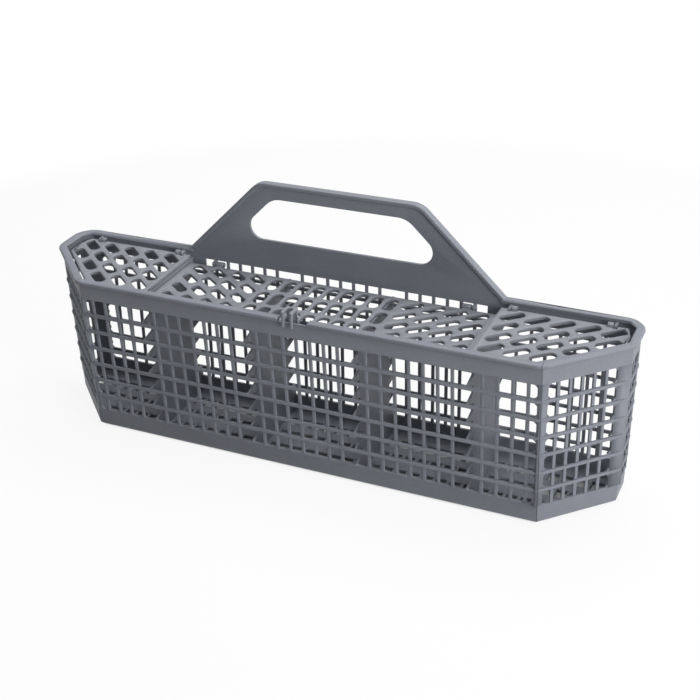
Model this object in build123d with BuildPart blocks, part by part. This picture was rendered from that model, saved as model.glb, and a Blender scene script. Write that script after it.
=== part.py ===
from build123d import *
from math import atan2, cos, hypot, radians, sin, sqrt
import os

# A long cutlery basket for a dishwasher: one moulded tub with a carrying handle on its back wall,
# and three slotted lids that swing up on pins along that wall.
# X runs along the basket, Y from the front (-) to the handle side (+), Z up. Sizes in millimetres.

# Overall size, at the rim and at the top of the handle
length = 500.0
depth = 95.0
height = 210.0
rim_height = 141.0

# Rim flange, standing out from the walls and in over the lids
rim_thickness = 3.4
rim_out = 3.0
rim_in = 4.0
rim_corner = 14.0
notch_middle = -0.5
notch_width = 25.0
notch_depth = 4.5

# Walls: thickness, how much each one leans out from floor to rim, and the legs of the cut corners
wall = 2.5
front_lean = 4.1
slant_lean = 2.6
end_lean = 3.8
corner_lean = 4.5
back_lean = 3.5
front_corner_cut = 52.8
back_corner_cut = 8.7

# Wall lattice: upright bars on the inside, ribs standing proud on the outside
bar_pitch = 11.53
bar_width = 2.6
bar_seat = 0.7
rib_height = 3.0
rib_proud = 1.3
rows = 7
back_rib_drop = 6.3
back_rib_step = 2
bottom_band = 16.9
top_band = 17.45
back_band = 8.0
front_post = 2.7
back_post = 15.0
slant_pitch = 9.9
slant_post = 5.1
slant_far_post = 9.5
end_window = 8.4

# Floor, with rows of drain slots
floor_thickness = 3.0
bottom_bevel = 2.4
drain_width = 11.0
drain_row_pitch = 20.0
drain_margin = 4.0

# Dividers stand where a wall bar is left out; their toothed edges reach the walls at the ribs
centre_divider_bar = 4
end_divider_bar = 12
divider_thickness = 2.0
divider_notch = 12.5
tooth_flare = 2.8

# Handle
handle_foot = 139.8
handle_top = 70.2
handle_round = 18.0
handle_plate = 2.5
handle_bead = 3.4
bead_inset = 1.5
hole_rise = 18.5
hole_drop = 13.6
hole_web = 25.7
hole_round = 11.0
hole_top_round = 18.0

# Lids
lid_thickness = 3.0
lid_gap = 2.6
end_lid_drop = 5.0
centre_lid_drop = 11.0
end_lid_taper = 3.6
end_lid_taper_run = 12.0
seam_overlap = 0.75
divider_clearance = 0.3
slot_row_count = 4
slot_back_margin = 11.6
slot_front_margin = 13.0
end_slot_length = 20.6
end_slot_width = 8.8
end_slot_pitch = 19.6
end_slot_margin = 12.3
end_slot_edge = 1.0
end_slot_web = 1.5
end_slot_angle = 40.0
centre_slot_length = 19.0
centre_slot_width = 8.0
centre_slot_pitch = 17.95
centre_slot_count = 4
centre_slot_margin = 14.25
centre_slot_back_margin = 9.9
centre_slot_angle = 37.0
middle_slot_length = 19.4
middle_slot_width = 10.0
middle_slot_pitch = 12.8
middle_slot_count = 9
middle_row_count = 3
middle_row_pitch = 23.6

# Hinges: ears with stub pins on the tub, bored knuckles on the lids. A pin's corners clear the bore's flats
pin_radius = 1.5
pin_sides = 8
pin_clearance = 0.05
pin_end_gap = 0.3
ear_thickness = 2.2
ear_radius = 2.3
ear_clearance = 0.4
ear_root = 1.4
side_gap = 0.3
hinge_rise = 0.8
knuckle_radius = 2.5
end_hinge_inset = 2.9
end_lid_tail = 1.0
end_knuckle_length = 4.8
inner_hinge = 11.1
outer_hinge = 17.3
centre_hinge_bar = 10
centre_hinge_inset = 2.6
centre_knuckle_length = 7.8
knuckle_web = 2.4

# Latch of the centre lid: two hooked ribs with a web between, reaching over the notch in the rim
latch_middle = -4.6
latch_width = 9.2
latch_rib = 2.2
latch_rise = 6.0
latch_gap = 0.45
latch_hook = 3.0
latch_leg = 2.3
latch_post = 2.4
latch_bridge = 2.6
latch_web = 1.6

# Places worked out from the sizes above
end_wall = length / 2 - rim_out
side_wall = depth / 2 - rim_out
slant_wall = (end_wall + side_wall - front_corner_cut) / sqrt(2)
corner_wall = (end_wall + side_wall - back_corner_cut) / sqrt(2)
flange_low = rim_height - rim_thickness
notch_floor = rim_height - notch_depth
band_low = rim_height - top_band
row_pitch = (band_low - bottom_band + rib_height) / rows
rib_levels = [bottom_band - rib_height / 2 + row_pitch * n for n in range(rows + 1)]
back_rib_levels = [level - back_rib_drop for level in rib_levels[1:]]
back_window_top = rim_height - back_band
back_window_end = end_wall - back_post
front_window_end = end_wall - front_corner_cut - front_post
divider_bars = (centre_divider_bar, end_divider_bar)
under_handle = (end_divider_bar - 1) * bar_pitch
end_lid_top = rim_height - end_lid_drop
centre_lid_top = rim_height - centre_lid_drop
end_seam = end_divider_bar * bar_pitch
end_axis_y = side_wall - rim_in - end_hinge_inset
end_axis_z = end_lid_top + hinge_rise
centre_axis_y = side_wall - wall - centre_hinge_inset
centre_axis_z = centre_lid_top + hinge_rise
end_lid_inner = end_seam - seam_overlap
end_lid_outer = end_wall - rim_in - lid_gap
end_lid_slant = (slant_wall - rim_in - lid_gap) * sqrt(2)
end_lid_back = end_axis_y + end_lid_tail
centre_lid_half = end_seam - divider_thickness / 2 - seam_overlap
centre_lid_back = centre_axis_y - ear_radius - ear_clearance
lid_front = -(side_wall - rim_in - lid_gap)
end_hinges = ((end_lid_inner + inner_hinge, -1), (end_lid_outer - outer_hinge, 1))
centre_hinge = (centre_hinge_bar - 0.5) * bar_pitch
LOW = (Align.CENTER, Align.CENTER, Align.MIN)
walls = (
    (-90, side_wall, front_lean),
    (-45, slant_wall, slant_lean),
    (0, end_wall, end_lean),
    (45, corner_wall, corner_lean),
    (90, side_wall, back_lean),
    (135, corner_wall, corner_lean),
    (180, end_wall, end_lean),
    (225, slant_wall, slant_lean),
)


def wall_plane(azimuth, reach, lean, grow):
    """The leaning plane of one wall, moved outwards by grow."""
    tilt = atan2(lean, rim_height)
    east, north = cos(radians(azimuth)), sin(radians(azimuth))
    normal = Vector(east * cos(tilt), north * cos(tilt), -sin(tilt))
    top = Vector(east * reach, north * reach, rim_height) + normal * grow
    return Plane(origin=top, x_dir=(-north, east, 0), z_dir=normal)


def slab(low, high, grow):
    """A solid slice of the tub between two heights, its sides on the wall planes moved by grow."""
    with BuildPart() as tub_slice:
        with Locations((0, 0, low)):
            Box(2 * length, 2 * length, high - low, align=LOW)
        for azimuth, reach, lean in walls:
            split(bisect_by=wall_plane(azimuth, reach, lean, grow), keep=Keep.BOTTOM)
    return tub_slice.part


def bays(window_end):
    """Middles and widths of the windows along half a long wall, from the middle to window_end."""
    last = int(window_end / bar_pitch - 0.4)
    edges = [n * bar_pitch for n in range(last + 1) if n not in divider_bars]
    gaps = [((a + b) / 2, b - a - bar_width) for a, b in zip(edges, edges[1:])]
    outer = edges[-1] + bar_width / 2
    return gaps + [((outer + window_end) / 2, window_end - outer)]


# Windows of the long walls, like sizes together; those under the handle reach higher
windows = {}
for y, window_end in ((-side_wall, front_window_end), (side_wall, back_window_end)):
    for x, width in bays(window_end):
        top = back_window_top if y > 0 and x < under_handle else band_low
        places = windows.setdefault((round(width, 6), top), [])
        places += [(x, y, bottom_band), (-x, y, bottom_band)]

# The rim has no inward flange below the handle
with BuildPart() as handle_gap:
    add(slab(flange_low, rim_height, -wall))
    with Locations((0, 0, flange_low)):
        Box(2 * (handle_foot - handle_bead), depth, rim_thickness,
            align=(Align.CENTER, Align.MIN, Align.MIN), mode=Mode.INTERSECT)

# Upright bars: the inner layer of the walls, cut into windows, with the inward half of the rim
slant_start = (end_wall - front_corner_cut - side_wall) / sqrt(2) + slant_post
slant_cells = int((front_corner_cut * sqrt(2) - slant_post - slant_far_post) / slant_pitch)
with BuildPart() as bars:
    add(slab(floor_thickness, rim_height, -bar_seat))
    add(slab(floor_thickness, flange_low, -wall), mode=Mode.SUBTRACT)
    add(slab(flange_low, rim_height, -rim_in), mode=Mode.SUBTRACT)
    add(handle_gap.part, mode=Mode.SUBTRACT)
    for (width, top), places in windows.items():
        with Locations(*places):
            Box(width, 6 * wall, top - bottom_band, align=LOW, mode=Mode.SUBTRACT)
    for side in (-1, 1):
        out = slant_wall / sqrt(2)
        along = [(slant_start + (n + 0.5) * slant_pitch) / sqrt(2) for n in range(slant_cells)]
        places = [Location((side * (out + a), a - out, bottom_band), (0, 0, 45 * side)) for a in along]
        with Locations(*places):
            Box(slant_pitch - bar_width, 4 * wall, band_low - bottom_band, align=LOW, mode=Mode.SUBTRACT)
        with Locations((side * end_wall, (front_corner_cut - back_corner_cut) / 2, bottom_band)):
            with GridLocations(1, end_window + bar_width, 1, 2):
                Box(6 * wall, end_window, band_low - bottom_band, align=LOW, mode=Mode.SUBTRACT)

# Dividers
with BuildPart() as dividers:
    for n, lid_top in ((centre_divider_bar, centre_lid_top), (end_divider_bar, end_lid_top)):
        outline = []
        for side, lean, levels in ((-1, front_lean, rib_levels), (1, back_lean, back_rib_levels)):
            edge = [(floor_thickness / 2, 0)]
            for under, over in zip(levels, levels[1:]):
                low, high = under + rib_height / 2, over - rib_height / 2
                edge += [(low, 0), (low + tooth_flare, divider_notch)]
                edge += [(high - tooth_flare, divider_notch), (high, 0)]
            edge += [(lid_top - lid_thickness - divider_clearance, 0)]
            seat = side_wall - bar_seat * hypot(lean, rim_height) / rim_height
            line = [(side * (seat - lean * (1 - z / rim_height) - inward), z) for z, inward in edge]
            outline += line[::-side]
        for side in (-1, 1):
            with BuildSketch(Plane.YZ.offset(side * n * bar_pitch)):
                Polygon(*outline, align=None)
            extrude(amount=divider_thickness / 2, both=True)

# Handle: a plate with a beaded edge and a hand hole
side_slope = (handle_foot - handle_top) / (height - rim_height)
bead_edge = handle_bead / 2 * hypot(1, side_slope)
bead_corner = handle_bead / 2 * (sqrt(2) - 1)
bead_line = [
    (-handle_foot + bead_edge - handle_bead * side_slope, rim_height - handle_bead),
    (-handle_top + bead_corner, height - handle_bead / 2),
    (handle_top - bead_corner, height - handle_bead / 2),
    (handle_foot - bead_edge + handle_bead * side_slope, rim_height - handle_bead),
]
hole_low, hole_high = rim_height + hole_rise, height - hole_drop
hole_low_half = handle_foot - hole_web - side_slope * hole_rise
hole_high_half = handle_foot - hole_web - side_slope * (hole_high - rim_height)
with BuildPart() as handle:
    with BuildSketch(Plane.XZ.offset(-side_wall)):
        with BuildLine():
            FilletPolyline(*bead_line, radius=handle_round - handle_bead / 2)
            Line(bead_line[0], bead_line[-1])
        make_face()
    extrude(amount=handle_plate)
    with BuildSketch(Plane.XZ.offset(-depth / 2)):
        with BuildLine():
            FilletPolyline(*bead_line, radius=handle_round - handle_bead / 2)
        trace(line_width=handle_bead)
    extrude(amount=rim_out + handle_plate + bead_inset)
    split(bisect_by=Plane.XY.offset(rim_height), keep=Keep.TOP)
    with BuildSketch(Plane.XZ.offset(-depth)) as hand_hole:
        Polygon(
            (-hole_low_half, hole_low),
            (hole_low_half, hole_low),
            (hole_high_half, hole_high),
            (-hole_high_half, hole_high),
            align=None,
        )
        fillet(hand_hole.vertices().group_by(Axis.Y)[-1], hole_top_round)
        fillet(hand_hole.vertices().group_by(Axis.Y)[0], hole_round)
    extrude(amount=depth, mode=Mode.SUBTRACT)

# Hinge ears, each with a stub pin that points along the wall
hinges = [
    (x, end_knuckle_length, x + away * (end_knuckle_length / 2 + side_gap), away, end_axis_y, end_axis_z)
    for x, away in end_hinges
]
hinges.append((
    centre_hinge, centre_knuckle_length, centre_hinge_bar * bar_pitch - ear_thickness / 2, 1,
    centre_axis_y, centre_axis_z,
))
with BuildPart() as hinge_pins:
    for side in (-1, 1):
        for knuckle, run, face, away, y, z in hinges:
            with BuildSketch(Plane.YZ.offset(side * face)):
                with Locations((y, z)):
                    RegularPolygon(ear_radius, 8, major_radius=False, rotation=22.5)
                    Rectangle(side_wall - ear_root - y, 2 * ear_radius, align=(Align.MIN, Align.CENTER))
            extrude(amount=side * away * ear_thickness)
            with BuildSketch(Plane.YZ.offset(side * face)):
                with Locations((y, z)):
                    RegularPolygon(pin_radius, pin_sides)
            extrude(amount=-side * away * (abs(face - knuckle) + run / 2 - pin_end_gap))

# Rim flange, rounded where the cut corners begin and end
with BuildPart() as rim_flange:
    add(slab(flange_low, rim_height, rim_out))
    fillet(rim_flange.edges().group_by(Axis.Z)[1].sort_by(Axis.Y)[:4], rim_corner)

# Ribs of the back wall, which lie lower than those of the other walls
with BuildPart() as back_ribs:
    for level in back_rib_levels[1:-1:back_rib_step]:
        add(slab(level - rib_height / 2, level + rib_height / 2, rib_proud))
    add(slab(floor_thickness, rim_height, -bar_seat), mode=Mode.SUBTRACT)
    with Locations((0, side_wall, 0)):
        Box(2 * (back_window_end + bar_width), 6 * wall, rim_height, align=LOW, mode=Mode.INTERSECT)

# The tub: floor, bands, proud ribs and rim as rings round the bars, with all that grows from them
with BuildPart() as basket_body:
    add(slab(0, bottom_band, 0))
    chamfer(basket_body.edges().group_by(Axis.Z)[0], bottom_bevel)
    for row in (-1, 0, 1):
        y = row * drain_row_pitch
        slant_reach = (slant_wall - slant_lean - wall) * sqrt(2) + y - drain_width / 2
        ends = [n * bar_pitch for n in divider_bars] + [min(end_wall - end_lean - wall, slant_reach)]
        with Locations((0, y)):
            Box(2 * (ends[0] - drain_margin), drain_width, 4 * floor_thickness, mode=Mode.SUBTRACT)
        for a, b in zip(ends, ends[1:]):
            with Locations(((a + b) / 2, y), (-(a + b) / 2, y)):
                Box(b - a - 2 * drain_margin, drain_width, 4 * floor_thickness, mode=Mode.SUBTRACT)
    add(slab(band_low, rim_height, 0))
    for level in rib_levels[1:-1]:
        add(slab(level - rib_height / 2, level + rib_height / 2, rib_proud))
    add(rim_flange.part)
    add(slab(floor_thickness, rim_height, -bar_seat), mode=Mode.SUBTRACT)
    with Locations(*[(0, side_wall, level) for level in rib_levels[1:-1]]):
        Box(2 * back_window_end, 6 * wall, rib_height, mode=Mode.SUBTRACT)
    add(back_ribs.part)
    with Locations((0, side_wall, band_low)):
        Box(2 * under_handle - bar_width, 6 * wall, back_window_top - band_low,
            align=LOW, mode=Mode.SUBTRACT)
    add(bars.part)
    add([dividers.part, handle.part, hinge_pins.part])
    with Locations((notch_middle, -depth / 2, notch_floor)):
        Box(notch_width, 4 * (rim_in + rim_out), 2 * notch_depth, align=LOW, mode=Mode.SUBTRACT)

# Right end lid
slot_row_pitch = (end_lid_back - lid_front - slot_back_margin - slot_front_margin) / (slot_row_count - 1)
slot_reach = (end_slot_length - end_slot_width) / 2 * cos(radians(end_slot_angle)) + end_slot_width / 2
first_slot = end_lid_inner + end_slot_margin
end_lid_outline = (
    (end_lid_inner, lid_front),
    (end_lid_slant + lid_front, lid_front),
    (end_lid_outer, end_lid_outer - end_lid_slant),
    (end_lid_outer, end_lid_back - end_lid_taper_run),
    (end_lid_outer - end_lid_taper, end_lid_back),
    (end_lid_inner, end_lid_back),
)
with BuildSketch() as end_lid_face:
    Polygon(*end_lid_outline, align=None)
with BuildSketch() as end_slots:
    places = []
    for row in range(slot_row_count):
        y = end_lid_back - slot_back_margin - row * slot_row_pitch
        room = min(end_lid_outer, end_lid_slant + y) - end_slot_edge - slot_reach - first_slot
        places += [(first_slot + n * end_slot_pitch, y) for n in range(int(room / end_slot_pitch) + 1)]
    with Locations(*places):
        Rectangle(end_slot_length, end_slot_width, rotation=end_slot_angle)
    offset(end_lid_face.sketch, amount=-end_slot_web, kind=Kind.INTERSECTION, mode=Mode.INTERSECT)
with BuildPart() as right_lid:
    with BuildSketch(Plane.XY.offset(end_lid_top - lid_thickness)):
        add(end_lid_face.sketch)
        add(end_slots.sketch, mode=Mode.SUBTRACT)
    extrude(amount=lid_thickness)
    for x, away in end_hinges:
        ear_middle = x + away * (end_knuckle_length / 2 + side_gap + ear_thickness / 2)
        with Locations((ear_middle, end_axis_y - ear_radius - ear_clearance, end_lid_top)):
            Box(ear_thickness + 2 * side_gap, depth, 4 * lid_thickness,
                align=(Align.CENTER, Align.MIN, Align.CENTER), mode=Mode.SUBTRACT)
        with BuildSketch(Plane.YZ.offset(x)):
            with Locations((end_axis_y, end_axis_z)):
                RegularPolygon(knuckle_radius, 8, rotation=22.5)
        extrude(amount=end_knuckle_length / 2, both=True)
        with BuildSketch(Plane.YZ.offset(x)):
            with Locations((end_axis_y, end_axis_z)):
                RegularPolygon(pin_radius + pin_clearance, pin_sides, major_radius=False)
        extrude(amount=end_knuckle_length / 2, both=True, mode=Mode.SUBTRACT)

# The left end lid mirrors the right one
with BuildPart() as left_lid:
    add(right_lid.part)
    mirror(about=Plane.YZ, mode=Mode.REPLACE)

# Centre lid, with its latch
centre_rows = centre_lid_back - lid_front - centre_slot_back_margin - slot_front_margin
centre_row_pitch = centre_rows / (slot_row_count - 1)
centre_lid_low = centre_lid_top - lid_thickness
leg_inner = -(side_wall + latch_gap)
leg_foot = notch_floor - latch_hook
latch_top = rim_height + latch_rise
with BuildPart() as centre_lid:
    with BuildSketch(Plane.XY.offset(centre_lid_low)):
        with Locations((0, (centre_lid_back + lid_front) / 2)):
            Rectangle(2 * centre_lid_half, centre_lid_back - lid_front)
            with GridLocations(middle_slot_pitch, middle_row_pitch, middle_slot_count, middle_row_count):
                Rectangle(middle_slot_width, middle_slot_length, mode=Mode.SUBTRACT)
        for side in (-1, 1):
            last = side * (centre_lid_half - centre_slot_margin)
            places = []
            for row in range(slot_row_count):
                y = centre_lid_back - centre_slot_back_margin - row * centre_row_pitch
                places += [(last - side * n * centre_slot_pitch, y) for n in range(centre_slot_count)]
            with Locations(*places):
                Rectangle(centre_slot_length, centre_slot_width, rotation=side * centre_slot_angle,
                          mode=Mode.SUBTRACT)
    extrude(amount=lid_thickness)
    for side in (-1, 1):
        with BuildSketch(Plane.YZ.offset(side * centre_hinge)):
            with Locations((centre_axis_y, centre_axis_z)):
                RegularPolygon(knuckle_radius, 8, rotation=22.5)
            with Locations((centre_lid_back, centre_lid_top - knuckle_web)):
                Rectangle(2 * (centre_axis_y - centre_lid_back), knuckle_web,
                          align=(Align.CENTER, Align.MIN))
            with Locations((centre_axis_y, centre_axis_z)):
                RegularPolygon(pin_radius + pin_clearance, pin_sides, major_radius=False,
                               mode=Mode.SUBTRACT)
        extrude(amount=centre_knuckle_length / 2, both=True)
        with BuildSketch(Plane.YZ.offset(latch_middle + side * (latch_width - latch_rib) / 2)):
            Polygon(
                (lid_front + latch_post, centre_lid_low),
                (lid_front + latch_post, latch_top),
                (leg_inner - latch_leg, latch_top),
                (leg_inner - latch_leg, leg_foot),
                (leg_inner, leg_foot),
                (leg_inner, latch_top - latch_bridge),
                (lid_front, latch_top - latch_bridge),
                (lid_front, centre_lid_low),
                align=None,
            )
        extrude(amount=latch_rib / 2, both=True)
    with Locations((latch_middle, lid_front, centre_lid_low)):
        Box(latch_width - latch_rib, latch_web, latch_top - centre_lid_low,
            align=(Align.CENTER, Align.MIN, Align.MIN))

os.makedirs("parts", exist_ok=True)
for name, piece in (
    ("basket_body", basket_body),
    ("left_lid", left_lid),
    ("centre_lid", centre_lid),
    ("right_lid", right_lid),
):
    piece.part.label = name
    export_step(piece.part, f"parts/{name}.step")
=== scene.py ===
from math import atan2, cos, hypot, radians, sin

import bmesh
import bpy
from bpy.props import FloatProperty, FloatVectorProperty, IntProperty, PointerProperty
from mathutils import Matrix, Vector


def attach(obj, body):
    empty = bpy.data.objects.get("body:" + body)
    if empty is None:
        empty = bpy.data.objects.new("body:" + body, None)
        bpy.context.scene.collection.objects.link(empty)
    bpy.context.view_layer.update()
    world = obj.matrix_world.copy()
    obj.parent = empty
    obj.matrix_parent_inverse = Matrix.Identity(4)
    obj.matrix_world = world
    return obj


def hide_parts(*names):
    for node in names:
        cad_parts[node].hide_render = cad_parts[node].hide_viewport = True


bl_info = {
    "name": "Cutlery Basket",
    "version": (1, 0, 0),
    "blender": (4, 5, 0),
    "location": "View3D > Sidebar > Basket",
    "description": "Softened mouldings, fine lattice work and grey plastic for a dishwasher cutlery basket",
    "category": "Object",
}

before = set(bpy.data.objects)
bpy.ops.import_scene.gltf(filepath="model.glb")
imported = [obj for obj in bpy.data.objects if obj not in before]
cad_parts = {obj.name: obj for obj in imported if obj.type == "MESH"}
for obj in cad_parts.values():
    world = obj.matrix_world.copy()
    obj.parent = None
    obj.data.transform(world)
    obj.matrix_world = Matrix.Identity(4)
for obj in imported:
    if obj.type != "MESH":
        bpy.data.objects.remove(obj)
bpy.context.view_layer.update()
MM = 0.001
UP = Vector((0, 0, 1))
WHITE = (1, 1, 1, 1)
# neighbouring faces that turn by less than FLAT are one; by more than SHARP, they meet in an edge
FLAT = radians(0.3)
SHARP = radians(25)
# points closer than this are one
TOUCH = 0.01 * MM
# least part of a face's normal along an axis that the face is square to, or nearly square to
SQUARE = 0.99
NEARLY_SQUARE = 0.9
# slack in heights that are compared with the rim's
RIM_SLACK = 0.1 * MM
# each lid's node and body
LID_BODIES = {"left_lid": "lid_left", "centre_lid": "lid_centre", "right_lid": "lid_right"}


class BasketPlastic(bpy.types.PropertyGroup):
    """Colour and surface of the grey moulded plastic."""

    tub_colour: FloatVectorProperty(
        name="Tub colour", description="Base colour of the tub", subtype="COLOR",
        size=4, min=0, max=1, default=(0.245, 0.258, 0.294, 1))
    lid_colour: FloatVectorProperty(
        name="Lid colour", description="Base colour of the lids", subtype="COLOR",
        size=4, min=0, max=1, default=(0.265, 0.277, 0.308, 1))
    roughness: FloatProperty(
        name="Roughness", description="Mean roughness of the moulded skin", subtype="FACTOR",
        min=0, max=1, default=0.46)
    refraction: FloatProperty(
        name="Refraction", description="Index of refraction of the plastic", subtype="FACTOR",
        min=1, max=2, default=1.49)
    sheen: FloatProperty(
        name="Sheen", description="Level of the skin's reflections", subtype="FACTOR",
        min=0, max=1, default=0.15)
    grain_size: FloatProperty(
        name="Grain size", description="Pitch of the fine grain left by the mould", unit="LENGTH",
        min=0.1 * MM, max=10 * MM, default=0.45 * MM)
    grain_depth: FloatProperty(
        name="Grain depth", description="Depth of the fine grain", unit="LENGTH",
        min=0, max=1 * MM, default=0.012 * MM)
    grain_strength: FloatProperty(
        name="Grain strength", description="How clearly the fine grain shows", subtype="FACTOR",
        min=0, max=1, default=0.35)
    seam_corner: FloatProperty(
        name="Seam corner", description="Distance of the front corners from the middle", unit="LENGTH",
        min=0, default=194.4 * MM)
    seam_front: FloatProperty(
        name="Seam front", description="The seam lies only in front of this place", unit="LENGTH",
        default=-38 * MM)
    seam_width: FloatProperty(
        name="Seam width", description="Width of the fine line down the front corners", unit="LENGTH",
        min=0, max=2 * MM, default=0.6 * MM)
    seam_tone: FloatProperty(
        name="Seam tone", description="Tone of the fine line, as a share of the tub's colour",
        subtype="FACTOR", min=0, max=1, default=0.45)


class BasketEdges(bpy.types.PropertyGroup):
    """How far the edges of the mouldings are rounded."""

    rim_round: FloatProperty(
        name="Rim", description="Rounding of the rim flange", unit="LENGTH",
        min=0, max=1.7 * MM, default=1.45 * MM)
    handle_round: FloatProperty(
        name="Handle", description="Rounding of the handle's bead and hand hole", unit="LENGTH",
        min=0, max=1.2 * MM, default=0.95 * MM)
    rib_round: FloatProperty(
        name="Ribs", description="Rounding of the proud ribs", unit="LENGTH",
        min=0, max=1.2 * MM, default=1.15 * MM)
    rib_corner: FloatProperty(
        name="Rib corners", description="How far back a rib's turn from wall to wall starts", unit="LENGTH",
        min=1 * MM, max=5 * MM, default=4.0 * MM)
    rim_corner: FloatProperty(
        name="Rim corners", description="How far back the rim's turn at the back corners starts",
        unit="LENGTH", min=1 * MM, max=6 * MM, default=5.8 * MM)
    bar_round: FloatProperty(
        name="Bars", description="Rounding of the bars, bands and dividers", unit="LENGTH",
        min=0, max=0.9 * MM, default=0.3 * MM)
    lid_round: FloatProperty(
        name="Lids", description="Rounding of the lids' edges", unit="LENGTH",
        min=0, max=1 * MM, default=0.5 * MM)
    slot_end: FloatProperty(
        name="Slot ends", description="Radius of the slots' ends, as a share of half their width",
        subtype="FACTOR", min=0.1, max=0.98, default=0.86)
    segments: IntProperty(
        name="Segments", description="Steps in each rounded edge of the tub", subtype="UNSIGNED",
        min=1, max=6, default=3)
    lid_segments: IntProperty(
        name="Lid segments", description="Steps in each rounded edge of the lids", subtype="UNSIGNED",
        min=1, max=6, default=2)
    slot_segments: IntProperty(
        name="Slot segments", description="Steps in each rounded corner of a slot", subtype="UNSIGNED",
        min=1, max=8, default=5)


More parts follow.
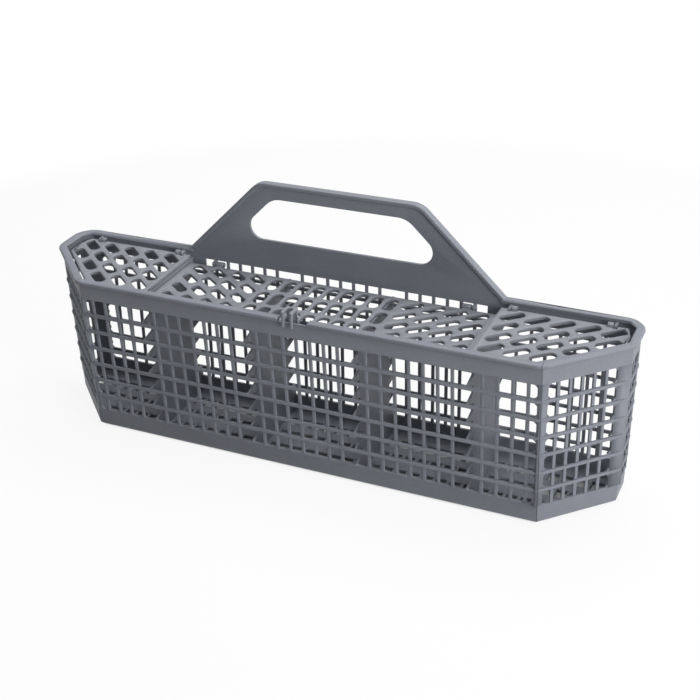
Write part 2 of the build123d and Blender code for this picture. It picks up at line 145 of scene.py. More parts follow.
class BasketLattice(bpy.types.PropertyGroup):
    """Walls, ribs, posts and drain bars of the tub."""

    rim_height: FloatProperty(
        name="Rim height", description="Height of the rim", unit="LENGTH", default=141.0 * MM)
    flange_depth: FloatProperty(
        name="Flange depth", description="How far the rim's flange reaches down, with a little to spare",
        unit="LENGTH", default=3.6 * MM)
    handle_foot: FloatProperty(
        name="Handle foot", description="Where the rim runs free, just outside the handle's feet",
        unit="LENGTH", default=130 * MM)
    wall_top: FloatProperty(
        name="Wall top", description="Distance of the front and back walls from the middle at the rim",
        unit="LENGTH", default=44.5 * MM)
    end_top: FloatProperty(
        name="End top", description="Distance of the end walls from the middle at the rim", unit="LENGTH",
        default=247.0 * MM)
    front_cut: FloatProperty(
        name="Front cut", description="How far the front corners are cut back each way", unit="LENGTH",
        default=52.8 * MM)
    back_cut: FloatProperty(
        name="Back cut", description="How far the back corners are cut back each way", unit="LENGTH",
        default=8.7 * MM)
    front_wall: FloatVectorProperty(
        name="Front wall", description="Lean from floor to rim, and widths of the posts at both ends",
        unit="LENGTH", size=3, default=(4.1 * MM, 2.7 * MM, 2.7 * MM))
    slant_wall: FloatVectorProperty(
        name="Slanted wall", description="Lean, and widths of the posts at its front and its back",
        unit="LENGTH", size=3, default=(2.6 * MM, 6.4 * MM, 11.47 * MM))
    end_wall: FloatVectorProperty(
        name="End wall", description="Lean, and widths of the posts at its front and its back",
        unit="LENGTH", size=3, default=(3.8 * MM, 4.05 * MM, 4.05 * MM))
    corner_wall: FloatVectorProperty(
        name="Back corner", description="Lean, and width of the one post that fills it",
        unit="LENGTH", size=3, default=(4.5 * MM, 12.304 * MM, 0))
    back_wall: FloatVectorProperty(
        name="Back wall", description="Lean from floor to rim, and widths of the posts at both ends",
        unit="LENGTH", size=3, default=(3.5 * MM, 6.3 * MM, 6.3 * MM))
    first_rib: FloatProperty(
        name="First rib", description="Middle height of the lowest rib of the back wall", unit="LENGTH",
        default=24.7643 * MM)
    rib_drop: FloatProperty(
        name="Rib drop", description="How much lower the back wall's ribs sit than the other walls'",
        unit="LENGTH", default=6.3 * MM)
    rib_pitch: FloatProperty(
        name="Rib pitch", description="Height from rib to rib", unit="LENGTH", default=15.6643 * MM)
    rib_count: IntProperty(
        name="Ribs", description="Ribs of a wall, one above the other", subtype="UNSIGNED", default=7)
    rib_height: FloatProperty(
        name="Rib height", description="Height of one rib", unit="LENGTH", default=3.0 * MM)
    rib_half: FloatProperty(
        name="Rib half length", description="Half the length of a back rib", unit="LENGTH",
        default=234.6 * MM)
    rib_proud: FloatProperty(
        name="Rib proud", description="How far a rib stands out from the wall", unit="LENGTH",
        default=1.3 * MM)
    rib_seat: FloatProperty(
        name="Rib seat", description="How far a rib reaches in to the bars", unit="LENGTH",
        default=0.7 * MM)
    rib_turn: FloatVectorProperty(
        name="Rib turn", description="Least and greatest height of the ribs' and flange's upright edges",
        unit="LENGTH", size=2, default=(2.5 * MM, 3.6 * MM))
    divider_reach: FloatProperty(
        name="Divider reach", description="The dividers and the inner bars' sides lie within this distance",
        unit="LENGTH", default=200 * MM)
    outer_reach: FloatProperty(
        name="Outer reach", description="A wall's outer face lies at least this far from the middle",
        unit="LENGTH", default=30 * MM)
    post_foot: FloatProperty(
        name="Post foot", description="Height at which the posts leave the bottom band", unit="LENGTH",
        default=16.5 * MM)
    post_head: FloatProperty(
        name="Post head", description="Height at which the posts meet the top band", unit="LENGTH",
        default=124.0 * MM)
    post_skin: FloatProperty(
        name="Post skin", description="Depth from the bands' face to the posts", unit="LENGTH",
        default=0.75 * MM)
    post_lap: FloatProperty(
        name="Post lap", description="How far the front posts run past their corner", unit="LENGTH",
        default=0.1 * MM)
    window_corner: FloatProperty(
        name="Window corner", description="Size of the filled corners of the windows beside the posts",
        unit="LENGTH", min=0.5 * MM, max=4 * MM, default=2.4 * MM)
    window_cut: FloatProperty(
        name="Window cut", description="Share of a filled corner that is cut off slantwise",
        subtype="FACTOR", min=0.1, max=0.98, default=0.96)
    window_seat: FloatProperty(
        name="Window seat", description="How far a filled corner reaches into its post and rib",
        unit="LENGTH", default=0.3 * MM)
    window_depth: FloatVectorProperty(
        name="Window depth", description="Depths below the bands' face between which a corner is filled",
        unit="LENGTH", size=2, default=(2.2 * MM, 0.1 * MM))
    bar_pitch: FloatProperty(
        name="Bar pitch", description="Distance from bar to bar along the basket", unit="LENGTH",
        default=11.53 * MM)
    drain_bar: FloatProperty(
        name="Drain bar", description="Width of a cross bar in the drain slots", unit="LENGTH",
        default=3.0 * MM)
    drain_width: FloatProperty(
        name="Drain width", description="Width of a drain slot", unit="LENGTH", default=11.0 * MM)
    drain_pitch: FloatProperty(
        name="Drain pitch", description="Distance between the rows of drain slots", unit="LENGTH",
        default=20.0 * MM)
    drain_reach: FloatVectorProperty(
        name="Drain reach", description="How far the front, middle and back rows run from the middle",
        unit="LENGTH", size=3, default=(190 * MM, 211 * MM, 220 * MM))
    drain_seat: FloatProperty(
        name="Drain seat", description="How far a cross bar reaches into the floor at each end",
        unit="LENGTH", default=0.2 * MM)
    drain_bed: FloatVectorProperty(
        name="Drain bed", description="Heights of a cross bar's underside and top", unit="LENGTH",
        size=2, default=(0.3 * MM, 2.8 * MM))


class BasketStage(bpy.types.PropertyGroup):
    """Floor, light and camera."""

    floor_colour: FloatVectorProperty(
        name="Floor colour", description="Colour of the floor", subtype="COLOR",
        size=4, min=0, max=1, default=(0.9, 0.9, 0.9, 1))
    # painted shade: the darker colour the floor takes where it is seen below the basket; it is also the
    # floor's colour in the light it throws back
    floor_shade_and_bounce: FloatVectorProperty(
        name="Floor shade", subtype="COLOR", size=4,
        description="Colour of the floor below the basket and in the light that it throws back",
        min=0, max=1, default=(0.46, 0.46, 0.46, 1))
    floor_white: FloatProperty(
        name="Floor white", description="Share of plain white in the floor that is seen round the basket",
        subtype="FACTOR", min=0, max=1, default=0.9)
    floor_half: FloatProperty(
        name="Floor half", description="Half the width of the floor", unit="LENGTH", default=8)
    floor_drop: FloatProperty(
        name="Floor drop", description="How far the floor lies below the basket", unit="LENGTH",
        default=0.2 * MM)
    plain_from: FloatVectorProperty(
        name="Plain floor", description="Distances between which the floor fades to plain white",
        unit="LENGTH", size=2, default=(0.3, 0.8))
    # bounds of the patch below the base where the floor's shade is partly real shadow and partly a darker
    # painted colour
    base_end: FloatVectorProperty(
        name="Base end", description="Where the shade below the base fades out, along the basket",
        unit="LENGTH", size=2, default=(228 * MM, 242.5 * MM))
    base_side: FloatVectorProperty(
        name="Base side", description="Where the shade below the base fades out, across the basket",
        unit="LENGTH", size=2, default=(34 * MM, 40.5 * MM))
    base_slant: FloatVectorProperty(
        name="Base slant", description="Where it fades out at the cut corners, as length less depth",
        unit="LENGTH", size=2, default=(220 * MM, 234.5 * MM))
    ambient: FloatProperty(
        name="Ambient", description="Strength of the even light all round", subtype="FACTOR",
        min=0, max=2, default=0.03)
    lamp_aim: FloatVectorProperty(
        name="Lamp aim", description="The place that every lamp faces", subtype="TRANSLATION", size=3,
        default=(0, 0, 0.08))
    key_power: FloatProperty(
        name="Key light", description="Power of the large lamp above", unit="POWER", default=21)
    key_size: FloatProperty(
        name="Key size", description="Width of the large lamp above", unit="LENGTH", default=1.2)
    key_place: FloatVectorProperty(
        name="Key place", description="Where the lamp above hangs", subtype="TRANSLATION", size=3,
        default=(0.1, 0.45, 1.5))
    fill_power: FloatProperty(
        name="Fill light", description="Power of the lamp above the front", unit="POWER", default=2.5)
    fill_size: FloatProperty(
        name="Fill size", description="Width of the lamp above the front", unit="LENGTH", default=1.0)
    fill_place: FloatVectorProperty(
        name="Fill place", description="Where the lamp above the front hangs", subtype="TRANSLATION", size=3,
        default=(0.2, -0.9, 1.3))
    side_power: FloatProperty(
        name="Side light", description="Power of the lamp at the right", unit="POWER", default=20)
    side_size: FloatProperty(
        name="Side size", description="Width of the lamp at the right", unit="LENGTH", default=1.0)
    side_place: FloatVectorProperty(
        name="Side place", description="Where the lamp at the right stands", subtype="TRANSLATION", size=3,
        default=(1.45, -0.55, 0.5))
    camera_place: FloatVectorProperty(
        name="Camera place", description="Where the camera stands", subtype="TRANSLATION", size=3,
        default=(0.39979, -0.81656, 0.60046))
    camera_turn: FloatVectorProperty(
        name="Camera turn", description="Pitch from straight down, roll and turn about the upright axis",
        subtype="EULER", size=3, default=(radians(61.59), radians(-2.06), radians(24.92)))
    camera_lens: FloatProperty(
        name="Lens", description="Focal length in millimetres", unit="CAMERA", default=66.77)
    camera_sensor: FloatProperty(
        name="Sensor", description="Width of the sensor in millimetres", unit="CAMERA", default=36)
    camera_shift: FloatVectorProperty(
        name="Shift", description="Shift of the picture, as a share of its width", subtype="COORDINATES",
        size=2, default=(0.0101, -0.0291))
    camera_clip: FloatVectorProperty(
        name="Clip", description="Nearest and farthest distance that the camera sees", unit="LENGTH",
        size=2, default=(0.01, 50))


def feed(tree, socket, value):
    """Link an output to a socket, or set the socket to a plain value."""
    if isinstance(value, bpy.types.NodeSocket):
        tree.links.new(value, socket)
    else:
        socket.default_value = value


def worked(tree, operation, *values):
    """The outcome of a Math node for one, two or three values."""
    node = tree.nodes.new("ShaderNodeMath")
    node.operation = operation
    for socket, value in zip(node.inputs, values):
        feed(tree, socket, value)
    return node.outputs["Value"]


def spread(tree, value, source, target=(0, 1), fade="LINEAR"):
    """A value brought from the range source to the range target."""
    node = tree.nodes.new("ShaderNodeMapRange")
    node.interpolation_type = fade
    feed(tree, node.inputs["Value"], value)
    node.inputs["From Min"].default_value, node.inputs["From Max"].default_value = source
    node.inputs["To Min"].default_value, node.inputs["To Max"].default_value = target
    return node.outputs["Result"]


def noise(tree, place, scale, detail, roughness=0.5):
    """Noise at a place, from 0 to 1."""
    node = tree.nodes.new("ShaderNodeTexNoise")
    feed(tree, node.inputs["Vector"], place)
    feed(tree, node.inputs["Scale"], scale)
    feed(tree, node.inputs["Detail"], detail)
    feed(tree, node.inputs["Roughness"], roughness)
    return node.outputs["Fac"]


def object_place(tree):
    """Place on the object, from its own origin."""
    return tree.nodes.new("ShaderNodeTexCoord").outputs["Object"]


def split_place(tree, place):
    """The three coordinates of a place."""
    node = tree.nodes.new("ShaderNodeSeparateXYZ")
    feed(tree, node.inputs["Vector"], place)
    return node.outputs


def blend(tree, share, first, second):
    """A colour between two colours."""
    node = tree.nodes.new("ShaderNodeMix")
    node.data_type = "RGBA"
    feed(tree, node.inputs["Factor"], share)
    feed(tree, node.inputs["A"], first)
    feed(tree, node.inputs["B"], second)
    return node.outputs["Result"]


def node_group(name, inputs, outputs):
    """A new node group with its sockets, each given by its label and kind."""
    group = bpy.data.node_groups.new(name, "ShaderNodeTree")
    for way, sockets in (("INPUT", inputs), ("OUTPUT", outputs)):
        for label, kind in sockets.items():
            group.interface.new_socket(label, in_out=way, socket_type=kind)
    inside = group.nodes.new("NodeGroupInput").outputs
    outside = group.nodes.new("NodeGroupOutput").inputs
    return group, inside, outside


def moulded_grain():
    """Node group: faint clouds of tone, uneven gloss and the fine grain that a mould leaves."""
    name = "moulded grain"
    if name in bpy.data.node_groups:
        return bpy.data.node_groups[name]
    group, inside, outside = node_group(
        name,
        {"Colour": "NodeSocketColor", "Roughness": "NodeSocketFloat", "Grain scale": "NodeSocketFloat"},
        {"Colour": "NodeSocketColor", "Roughness": "NodeSocketFloat", "Height": "NodeSocketFloat"})
    place = object_place(group)
    clouds = noise(group, place, scale=28, detail=4, roughness=0.55)
    specks = noise(group, place, scale=900, detail=2)

    tone = spread(group, clouds, (0.3, 0.7), (0.95, 1.05))
    fleck = spread(group, specks, (0.35, 0.65), (0.96, 1.04))
    shade = group.nodes.new("ShaderNodeVectorMath")
    shade.operation = "SCALE"
    feed(group, shade.inputs[0], inside["Colour"])
    feed(group, shade.inputs["Scale"], worked(group, "MULTIPLY", tone, fleck))
    feed(group, outside["Colour"], shade.outputs["Vector"])

    gloss = spread(group, clouds, (0.3, 0.7), (-0.05, 0.05))
    feed(group, outside["Roughness"], worked(group, "ADD", inside["Roughness"], gloss))
    feed(group, outside["Height"], noise(group, place, scale=inside["Grain scale"], detail=2))
    return group


def mould_seam():
    """Node group: 1 on the fine line that the mould leaves down the two front corners, 0 elsewhere."""
    name = "mould seam"
    if name in bpy.data.node_groups:
        return bpy.data.node_groups[name]
    group, inside, outside = node_group(
        name,
        {"Corner": "NodeSocketFloat", "Width": "NodeSocketFloat", "Front": "NodeSocketFloat"},
        {"Seam": "NodeSocketFloat"})
    place = split_place(group, object_place(group))
    along = worked(group, "ABSOLUTE", place["X"])
    near = worked(group, "COMPARE", along, inside["Corner"], inside["Width"])
    front = worked(group, "LESS_THAN", place["Y"], inside["Front"])
    feed(group, outside["Seam"], worked(group, "MULTIPLY", near, front))
    return group


def plastic(name, colour):
    """Satin grey plastic with the mould's grain."""
    if name in bpy.data.materials:
        return bpy.data.materials[name]
    settings = bpy.context.scene.basket_plastic
    material = bpy.data.materials.new(name)
    material.use_nodes = True
    tree = material.node_tree
    grain = tree.nodes.new("ShaderNodeGroup")
    grain.node_tree = moulded_grain()
    grain.inputs["Colour"].default_value = colour
    grain.inputs["Roughness"].default_value = settings.roughness
    grain.inputs["Grain scale"].default_value = 1 / settings.grain_size
    seam = tree.nodes.new("ShaderNodeGroup")
    seam.node_tree = mould_seam()
    seam.inputs["Corner"].default_value = settings.seam_corner
    seam.inputs["Width"].default_value = settings.seam_width / 2
    seam.inputs["Front"].default_value = settings.seam_front
    bump = tree.nodes.new("ShaderNodeBump")
    bump.inputs["Strength"].default_value = settings.grain_strength
    bump.inputs["Distance"].default_value = settings.grain_depth
    feed(tree, bump.inputs["Height"], grain.outputs["Height"])
    dark = [settings.seam_tone * part for part in colour[:3]] + [1]
    skin = tree.nodes["Principled BSDF"]
    skin.inputs["IOR"].default_value = settings.refraction
    skin.inputs["Specular IOR Level"].default_value = settings.sheen
    base = blend(tree, seam.outputs["Seam"], grain.outputs["Colour"], dark)
    feed(tree, skin.inputs["Base Color"], base)
    feed(tree, skin.inputs["Roughness"], grain.outputs["Roughness"])
    feed(tree, skin.inputs["Normal"], bump.outputs["Normal"])
    return material


def tub_plastic():
    """The plastic of the tub."""
    return plastic("tub plastic", bpy.context.scene.basket_plastic.tub_colour)


def lid_plastic():
    """The slightly paler plastic of the lids."""
    return plastic("lid plastic", bpy.context.scene.basket_plastic.lid_colour)


def merged(node):
    """A bmesh of a CAD node with its doubles merged and its flat faces joined."""
    bm = bmesh.new()
    bm.from_mesh(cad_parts[node].data)
    bmesh.ops.remove_doubles(bm, verts=bm.verts, dist=TOUCH)
    bmesh.ops.dissolve_limit(bm, angle_limit=FLAT, verts=bm.verts, edges=bm.edges)
    bm.normal_update()
    return bm


def add_block(bm, place, low, high):
    """Add a block between two opposite corners, which are given in the axes of place."""
    low, high = Vector(low), Vector(high)
    size = Matrix.Diagonal((*(high - low), 1))
    matrix = place @ Matrix.Translation((low + high) / 2) @ size
    return bmesh.ops.create_cube(bm, size=1, matrix=matrix)["verts"]


def piece(name, bm, body, material):
    """Turn a bmesh into a piece of the basket that rides on a body."""
    for face in bm.faces:
        face.smooth = True
    mesh = bpy.data.meshes.new(name)
    bm.to_mesh(mesh)
    bm.free()
    mesh.materials.append(material)
    made = bpy.data.objects.new(name, mesh)
    bpy.context.scene.collection.objects.link(made)
    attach(made, body)
    return made


def round_edges(made, width, segments):
    """Round the weighted edges of a piece; a weight of 1 is the full width."""
    rounding = made.modifiers.new("Rounded edges", "BEVEL")
    rounding.limit_method = "WEIGHT"
    rounding.width = width
    rounding.segments = segments
    rounding.use_clamp_overlap = False
    rounding.harden_normals = True
    rounding.miter_outer = "MITER_SHARP"


def weigh(bm, radius_of, width):
    """Give each convex edge the share of width that radius_of asks for; inner corners stay crisp."""
    weights = bm.edges.layers.float.new("bevel_weight_edge")
    for edge in bm.edges:
        if len(edge.link_faces) != 2:
            continue
        turn = edge.calc_face_angle_signed(0)
        if turn > SHARP:
            edge[weights] = min(1, radius_of(edge) / width)
        edge.smooth = turn > -SHARP


def between_bands(low, high, lattice):
    """Whether two heights lie in the open lattice, clear of the bottom and top bands."""
    clear = lattice.rib_height / 2
    return low > lattice.post_foot + clear and high < lattice.post_head - clear


class BASKET_OT_tub(bpy.types.Operator):
    """Soften the tub's rim, handle, ribs and bars and give it its plastic"""

    bl_idname = "basket.tub"
    bl_label = "Tub"

    def execute(self, context):
        edges = context.scene.basket_edges
        lattice = context.scene.basket_lattice
        bm = merged("basket_body")
        self.part_rim(bm, lattice)
        self.round_corners(bm, edges, lattice)
        weigh(bm, lambda edge: self.radius_of(edge, edges, lattice), edges.rim_round)
        made = piece("tub", bm, "tub", tub_plastic())
        round_edges(made, edges.rim_round, edges.segments)
        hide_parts("basket_body")
        return {"FINISHED"}

    def part_rim(self, bm, lattice):
        """Part the rim's flat top beside the handle's feet, so that its long ring isn't filled across."""
        rim = lattice.rim_height
        for x in (-lattice.handle_foot, lattice.handle_foot):
            level = [face for face in bm.faces if face.normal.z > SQUARE]
            top = [face for face in level if abs(face.calc_center_median().z - rim) < RIM_SLACK]
            ring = {part for face in top for part in (*face.edges, *face.verts)}
            bmesh.ops.bisect_plane(
                bm, geom=[*top, *ring], dist=TOUCH / 10, plane_co=(x, 0, 0), plane_no=(1, 0, 0))
        bm.normal_update()

    def round_corners(self, bm, edges, lattice):
        """Round the ribs and the rim where they turn from wall to wall."""
        rim = lattice.rim_height
        steepest = 0.2
        widest_turn = radians(60)
        least, greatest = lattice.rib_turn
        ribs, flange = [], []
        for edge in bm.edges:
            if len(edge.link_faces) != 2:
                continue
            if max(abs(face.normal.z) for face in edge.link_faces) > steepest:
                continue
            low, high = sorted(vert.co.z for vert in edge.verts)
            turns = SHARP < edge.calc_face_angle_signed(0) < widest_turn
            if not (turns and least < high - low < greatest):
                continue
            if between_bands(low, high, lattice):
                ribs.append(edge)
            elif rim - lattice.flange_depth < low and high < rim + RIM_SLACK:
                flange.append(edge)
        steps = edges.segments
        rounded = (ribs, edges.rib_corner, steps), (flange, edges.rim_corner, 2 * steps)
        for corners, start, count in rounded:
            bmesh.ops.bevel(
                bm, geom=corners, offset=start, affect="EDGES", segments=count, profile=0.5, material=-1)
        bm.normal_update()

    def radius_of(self, edge, edges, lattice):
        """Rounding of an edge by where it lies: on the handle, the rim, a rib, or a bar or band."""
        first, second = (vert.co for vert in edge.verts)
        low, high = sorted((first.z, second.z))
        flat = max(abs(face.normal.z) for face in edge.link_faces) > NEARLY_SQUARE
        if high > lattice.rim_height + 3 * RIM_SLACK:
            return edges.handle_round
        if flat and low > lattice.rim_height - lattice.flange_depth:
            return edges.rim_round
        if flat and between_bands(low, high, lattice):
            middle = (first + second) / 2
            if any(self.looks_out(face, middle, lattice) for face in edge.link_faces):
                return edges.rib_round
        return edges.bar_round

    def looks_out(self, face, place, lattice):
        """Whether a face at a place is a wall's outer one, and not the side of a bar or divider."""
        across = abs(face.normal.x) > SQUARE and abs(place.x) < lattice.divider_reach
        return not across and face.normal.xy.dot(place.xy) > lattice.outer_reach


class BASKET_OT_back_ribs(bpy.types.Operator):
    """Add the ribs of the back wall that lie between the ones in the frame"""

    bl_idname = "basket.back_ribs"
    bl_label = "Back ribs"

    def execute(self, context):
        edges = context.scene.basket_edges
        lattice = context.scene.basket_lattice
        lean = lattice.back_wall[0]
        tilt = Matrix.Rotation(-atan2(lean, lattice.rim_height), 4, "X")
        proud = (lattice.rib_proud - lattice.rib_seat) / 2
        depth = lattice.rib_proud + lattice.rib_seat
        half = Vector((lattice.rib_half, depth / 2, lattice.rib_height / 2))
        bm = bmesh.new()
        for n in range(0, lattice.rib_count, 2):
            z = lattice.first_rib + n * lattice.rib_pitch
            y = lattice.wall_top - lean * (1 - z / lattice.rim_height)
            add_block(bm, Matrix.Translation((0, y + proud, z)) @ tilt, -half, half)
        bm.normal_update()
        faces = [face for face in bm.faces if face.normal.y > NEARLY_SQUARE]
        outer = [edge for face in faces for edge in face.edges if edge.calc_length() > lattice.rib_half]
        bmesh.ops.bevel(
            bm, geom=outer, offset=edges.rib_round, affect="EDGES",
            segments=edges.segments, profile=0.5, material=-1)
        piece("back_ribs", bm, "tub", tub_plastic())
        return {"FINISHED"}


class BASKET_OT_corner_posts(bpy.types.Operator):
    """Bring the posts at the walls' ends flush with the bands and fill the corners of their windows"""

    bl_idname = "basket.corner_posts"
    bl_label = "Corner posts"

    def execute(self, context):
        lattice = context.scene.basket_lattice
        rim = lattice.rim_height
        bm = bmesh.new()
        cuts = []
        for start, end, (lean, *posts), lap, ribs in self.walls(lattice):
            place = self.wall_place(start, end, lean, rim)
            length = (end - start).length
            ends = ((posts[0], -lap, posts[0], 1), (posts[1], length + lap, length - posts[1], -1))
            for width, corner, edge, way in ends:
                if not width:
                    continue
                left, right = sorted((corner, edge))
                low = (left, -lattice.post_skin, lattice.post_foot - rim)
                add_block(bm, place, low, (right, 0, lattice.post_head - rim))
                if length - sum(posts) > lattice.window_corner:
                    cuts += self.fill_corners(bm, place, edge, way, ribs, lattice)
        bmesh.ops.bevel(
            bm, geom=cuts, offset=lattice.window_cut * lattice.window_corner, affect="EDGES",
            segments=1, profile=0.5, material=-1)
        piece("corner_posts", bm, "tub", tub_plastic())
        return {"FINISHED"}

    def walls(self, lattice):
        """Each wall's start and end at the rim, lean and posts, lap of the posts, and lowest rib."""
        side, end, rim = lattice.wall_top, lattice.end_top, lattice.rim_height
        right = [
            Vector((end - lattice.front_cut, -side, rim)),
            Vector((end, lattice.front_cut - side, rim)),
            Vector((end, side - lattice.back_cut, rim)),
            Vector((end - lattice.back_cut, side, rim)),
        ]
        left = [Vector((-corner.x, corner.y, rim)) for corner in reversed(right)]
        ribs = lattice.first_rib + lattice.rib_drop
        kinds = (lattice.slant_wall, lattice.end_wall, lattice.corner_wall)
        yield left[-1], right[0], lattice.front_wall, lattice.post_lap, ribs
        yield right[-1], left[0], lattice.back_wall, 0, lattice.first_rib
        for n, kind in enumerate(kinds):
            yield right[n], right[n + 1], kind, 0, ribs
        for n, (lean, front, back) in enumerate(reversed(kinds)):
            yield left[n], left[n + 1], (lean, back, front), 0, ribs

    def wall_place(self, start, end, lean, rim):
        """Axes of a leaning wall: X along it from its start, Y out of it, and Z up it from the rim."""
        across = (end - start).normalized()
        tilt = atan2(lean, rim)
        out = across.cross(UP) * cos(tilt) - UP * sin(tilt)
        turn = Matrix((across, out, out.cross(across))).transposed().to_4x4()
        return Matrix.Translation(start) @ turn

    def windows(self, first, lattice):
        """Low and high edges of the windows in a column; low slits beside a band are left out."""
        half = lattice.rib_height / 2
        ribs = [first + n * lattice.rib_pitch for n in range(lattice.rib_count)]
        lows = [lattice.post_foot, *(z + half for z in ribs)]
        highs = [*(z - half for z in ribs), lattice.post_head]
        least = 2.5 * lattice.window_corner
        return [(low, high) for low, high in zip(lows, highs) if high - low > least]

    def fill_corners(self, bm, place, edge, way, ribs, lattice):
        """Fill the corners of the windows beside a post; gives the edges that are cut off slantwise."""
        to_wall = place.inverted()
        inner, outer = lattice.window_depth
        seat, reach = lattice.window_seat, lattice.window_corner
        cuts = []
        for low, high in self.windows(ribs, lattice):
            for z, rise in ((low, 1), (high, -1)):
                height = z - lattice.rim_height
                tip = (edge + way * reach, height + rise * reach)
                left, right = sorted((edge - way * seat, tip[0]))
                foot, head = sorted((height - rise * seat, tip[1]))
                verts = add_block(bm, place, (left, -inner, foot), (right, -outer, head))
                places = [to_wall @ vert.co for vert in verts]
                first, second = (
                    vert for vert, at in zip(verts, places) if hypot(at.x - tip[0], at.z - tip[1]) < TOUCH)
                cuts += [side for side in first.link_edges if second in side.verts]
        return cuts


class BASKET_OT_drain_bars(bpy.types.Operator):
    """Add the cross bars that divide the drain slots into small holes"""

    bl_idname = "basket.drain_bars"
    bl_label = "Drain bars"

    def execute(self, context):
        lattice = context.scene.basket_lattice
        bottom, top = lattice.drain_bed
        half_width = lattice.drain_bar / 2
        half_depth = lattice.drain_width / 2 + lattice.drain_seat
        bm = bmesh.new()
        for row, reach in zip((-1, 0, 1), lattice.drain_reach):
            last = int(reach / lattice.bar_pitch)
            for n in range(-last, last + 1):
                place = Matrix.Translation((n * lattice.bar_pitch, row * lattice.drain_pitch, 0))
                add_block(bm, place, (-half_width, -half_depth, bottom), (half_width, half_depth, top))
        upper = [edge for edge in bm.edges if all(vert.co.z > top - TOUCH for vert in edge.verts)]
        bmesh.ops.bevel(
            bm, geom=upper, offset=context.scene.basket_edges.bar_round, affect="EDGES",
            segments=1, profile=0.5, material=-1)
        piece("drain_bars", bm, "tub", tub_plastic())
        return {"FINISHED"}


class BASKET_OT_lids(bpy.types.Operator):
    """Round the slots' ends and soften the edges of the three lids"""

    bl_idname = "basket.lids"
    bl_label = "Lids"

    def execute(self, context):
        edges = context.scene.basket_edges
        for node, body in LID_BODIES.items():
            bm = merged(node)
            self.round_slots(bm, edges)
            weigh(bm, lambda edge: edges.lid_round, edges.lid_round)
            made = piece(node + "_plate", bm, body, lid_plastic())
            round_edges(made, edges.lid_round, edges.lid_segments)
            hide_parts(node)
        return {"FINISHED"}

    def round_slots(self, bm, edges):
        """Open the plate's two faces, round the slots' corners and close the faces again."""
        top, bottom = self.open_plate(bm)
        for width, corners in self.slot_corners(bm).items():
            bmesh.ops.bevel(
                bm, geom=corners, offset=width * MM / 2 * edges.slot_end, affect="EDGES",
                segments=edges.slot_segments, profile=0.5, material=-1)
        for z, way in ((top, 1), (bottom, -1)):
            open_edges = [edge for edge in bm.edges if len(edge.link_faces) == 1]
            rims = [edge for edge in open_edges if all(abs(v.co.z - z * MM) < TOUCH for v in edge.verts)]
            bmesh.ops.triangle_fill(bm, use_beauty=True, edges=rims, normal=(0, 0, way))
        bmesh.ops.recalc_face_normals(bm, faces=bm.faces)
        bm.normal_update()

    def open_plate(self, bm):
        """Take away the plate's top and bottom faces, the two largest levels; gives their heights in mm."""
        levels = {}
        for face in bm.faces:
            if abs(face.normal.z) > SQUARE:
                levels.setdefault(round(face.calc_center_median().z / MM, 3), []).append(face)
        areas = {z: sum(face.calc_area() for face in faces) for z, faces in levels.items()}
        bottom, top = sorted(sorted(areas, key=areas.get)[-2:])
        bmesh.ops.delete(bm, geom=levels[top] + levels[bottom], context="FACES_ONLY")
        loose = [edge for edge in bm.edges if not edge.link_faces]
        bmesh.ops.delete(bm, geom=loose, context="EDGES")
        return top, bottom

    def slot_corners(self, bm):
        """The upright edges in the slots' corners, listed by the width of their slot in mm."""

        def upright(edge):
            first, second = (vert.co for vert in edge.verts)
            return (first - second).xy.length < TOUCH and len(edge.link_faces) == 2

        def concave(edge):
            return edge.calc_face_angle_signed(0) < -SHARP

        widths = {}
        for edge in filter(upright, bm.edges):
            walls = [wall for face in edge.link_faces for wall in face.edges if upright(wall)]
            if not concave(edge) or len(walls) != 4 or not all(map(concave, walls)):
                continue
            spans = [max(e.calc_length() for e in face.edges if not upright(e)) for face in edge.link_faces]
            widths.setdefault(round(min(spans) / MM, 2), []).append(edge)
        return widths


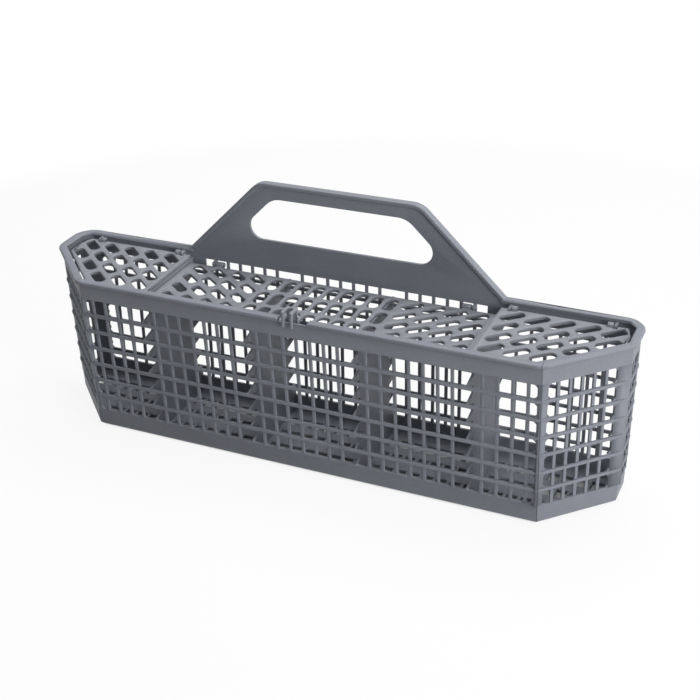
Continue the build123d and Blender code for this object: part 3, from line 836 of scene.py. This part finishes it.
class BASKET_OT_stage(bpy.types.Operator):
    """Set up the floor, the light and the camera"""

    bl_idname = "basket.stage"
    bl_label = "Stage"

    def execute(self, context):
        scene = context.scene
        stage = scene.basket_stage
        scene.view_settings.view_transform = "Standard"
        self.floor(scene, stage)
        self.world(scene, stage)
        aim = Vector(stage.lamp_aim)
        self.lamp(scene, "key lamp", stage.key_power, stage.key_size, Vector(stage.key_place), aim)
        self.lamp(scene, "fill lamp", stage.fill_power, stage.fill_size, Vector(stage.fill_place), aim)
        self.lamp(scene, "side lamp", stage.side_power, stage.side_size, Vector(stage.side_place), aim)
        self.camera(scene, stage)
        return {"FINISHED"}

    def camera(self, scene, stage):
        """The camera, with its roll about the line of sight."""
        data = bpy.data.cameras.new("camera")
        data.sensor_width = stage.camera_sensor
        data.lens = stage.camera_lens
        data.shift_x, data.shift_y = stage.camera_shift
        data.clip_start, data.clip_end = stage.camera_clip
        camera = bpy.data.objects.new("camera", data)
        pitch, roll, turn = stage.camera_turn
        aim = Matrix.Rotation(turn, 4, "Z") @ Matrix.Rotation(pitch, 4, "X") @ Matrix.Rotation(roll, 4, "Z")
        camera.matrix_world = Matrix.Translation(stage.camera_place) @ aim
        scene.collection.objects.link(camera)
        scene.camera = camera

    def lamp(self, scene, name, power, size, place, aim):
        """A large soft lamp that faces the basket."""
        data = bpy.data.lights.new(name, "AREA")
        data.energy = power
        data.size = size
        lamp = bpy.data.objects.new(name, data)
        turn = (aim - place).to_track_quat("-Z", "Y").to_matrix().to_4x4()
        lamp.matrix_world = Matrix.Translation(place) @ turn
        scene.collection.objects.link(lamp)

    def floor(self, scene, stage):
        """A wide pale floor just below the basket."""
        bm = bmesh.new()
        bmesh.ops.create_grid(bm, x_segments=1, y_segments=1, size=stage.floor_half)
        bmesh.ops.translate(bm, verts=bm.verts, vec=(0, 0, -stage.floor_drop))
        mesh = bpy.data.meshes.new("floor")
        bm.to_mesh(mesh)
        bm.free()
        mesh.materials.append(self.pale_floor(stage))
        floor = bpy.data.objects.new("floor", mesh)
        scene.collection.objects.link(floor)

    def pale_floor(self, stage):
        """Nearly white where it is seen; the patch below the basket keeps its real shadow and also gets a
        darker painted shade colour.
        """
        material = bpy.data.materials.new("pale floor")
        material.use_nodes = True
        tree = material.node_tree
        tree.nodes.clear()
        place = object_place(tree)
        axes = split_place(tree, place)
        along = worked(tree, "ABSOLUTE", axes["X"])
        across = worked(tree, "ABSOLUTE", axes["Y"])
        slant = worked(tree, "SUBTRACT", along, axes["Y"])
        # beyond is 0 in the patch below the basket, where the floor is painted darker as painted shadow, and
        # 1 outside it
        beyond = 0
        for value, fade in ((along, stage.base_end), (across, stage.base_side), (slant, stage.base_slant)):
            beyond = worked(tree, "MAXIMUM", beyond, spread(tree, value, fade, fade="SMOOTHSTEP"))
        open_floor = worked(tree, "MULTIPLY", beyond, self.seen(tree))

        away = tree.nodes.new("ShaderNodeVectorMath")
        away.operation = "LENGTH"
        feed(tree, away.inputs[0], place)
        far = spread(tree, away.outputs["Value"], stage.plain_from, fade="SMOOTHSTEP")
        plain = worked(tree, "MAXIMUM", far, stage.floor_white)

        matt = tree.nodes.new("ShaderNodeBsdfDiffuse")
        # painted shadow: where seen below the basket, and everywhere in bounced light, the floor takes the
        # darker shade colour in place of its pale colour
        feed(tree, matt.inputs["Color"], blend(tree, open_floor, stage.floor_shade_and_bounce, stage.floor_colour))
        white = tree.nodes.new("ShaderNodeEmission")
        white.inputs["Color"].default_value = WHITE
        out = tree.nodes.new("ShaderNodeOutputMaterial")
        share = worked(tree, "MULTIPLY", open_floor, plain)
        self.mix(tree, share, matt.outputs["BSDF"], white.outputs["Emission"], out)
        return material

    def seen(self, tree):
        """1 where a surface is seen by the camera, in a reflection or through glass."""
        path = tree.nodes.new("ShaderNodeLightPath").outputs
        direct = worked(tree, "MAXIMUM", path["Is Camera Ray"], path["Is Glossy Ray"])
        return worked(tree, "MAXIMUM", direct, path["Is Transmission Ray"])

    def mix(self, tree, share, first, second, out):
        """Send a mix of two shaders to the output."""
        node = tree.nodes.new("ShaderNodeMixShader")
        feed(tree, node.inputs["Fac"], share)
        feed(tree, node.inputs[1], first)
        feed(tree, node.inputs[2], second)
        feed(tree, out.inputs["Surface"], node.outputs["Shader"])

    def world(self, scene, stage):
        """White where it is seen, and an even pale light elsewhere."""
        world = bpy.data.worlds.new("studio")
        world.use_nodes = True
        tree = world.node_tree
        tree.nodes.clear()
        shaders = []
        for strength in (stage.ambient, 1):
            light = tree.nodes.new("ShaderNodeBackground")
            light.inputs["Color"].default_value = WHITE
            light.inputs["Strength"].default_value = strength
            shaders.append(light.outputs["Background"])
        self.mix(tree, self.seen(tree), *shaders, tree.nodes.new("ShaderNodeOutputWorld"))
        scene.world = world


class BASKET_PT_panel(bpy.types.Panel):
    """Sizes, colours and steps of the cutlery basket"""

    bl_idname = "BASKET_PT_panel"
    bl_label = "Cutlery Basket"
    bl_space_type = "VIEW_3D"
    bl_region_type = "UI"
    bl_category = "Basket"

    def draw(self, context):
        layout = self.layout
        for operator in OPERATORS:
            layout.operator(operator.bl_idname)
        for attribute, group in GROUPS.items():
            box = layout.box()
            box.label(text=group.__doc__)
            settings = getattr(context.scene, attribute)
            for name in group.__annotations__:
                box.prop(settings, name)


GROUPS = {
    "basket_plastic": BasketPlastic,
    "basket_edges": BasketEdges,
    "basket_lattice": BasketLattice,
    "basket_stage": BasketStage,
}
OPERATORS = (
    BASKET_OT_tub,
    BASKET_OT_back_ribs,
    BASKET_OT_corner_posts,
    BASKET_OT_drain_bars,
    BASKET_OT_lids,
    BASKET_OT_stage,
)


def register():
    for attribute, group in GROUPS.items():
        bpy.utils.register_class(group)
        setattr(bpy.types.Scene, attribute, PointerProperty(type=group))
    for operator in OPERATORS:
        bpy.utils.register_class(operator)
    bpy.utils.register_class(BASKET_PT_panel)


def unregister():
    bpy.utils.unregister_class(BASKET_PT_panel)
    for operator in reversed(OPERATORS):
        bpy.utils.unregister_class(operator)
    for attribute, group in GROUPS.items():
        delattr(bpy.types.Scene, attribute)
        bpy.utils.unregister_class(group)


def main():
    register()
    bpy.ops.basket.tub()
    bpy.ops.basket.back_ribs()
    bpy.ops.basket.corner_posts()
    bpy.ops.basket.drain_bars()
    bpy.ops.basket.lids()
    bpy.ops.basket.stage()
    bpy.context.view_layer.update()


if __name__ == "__main__":
    main()
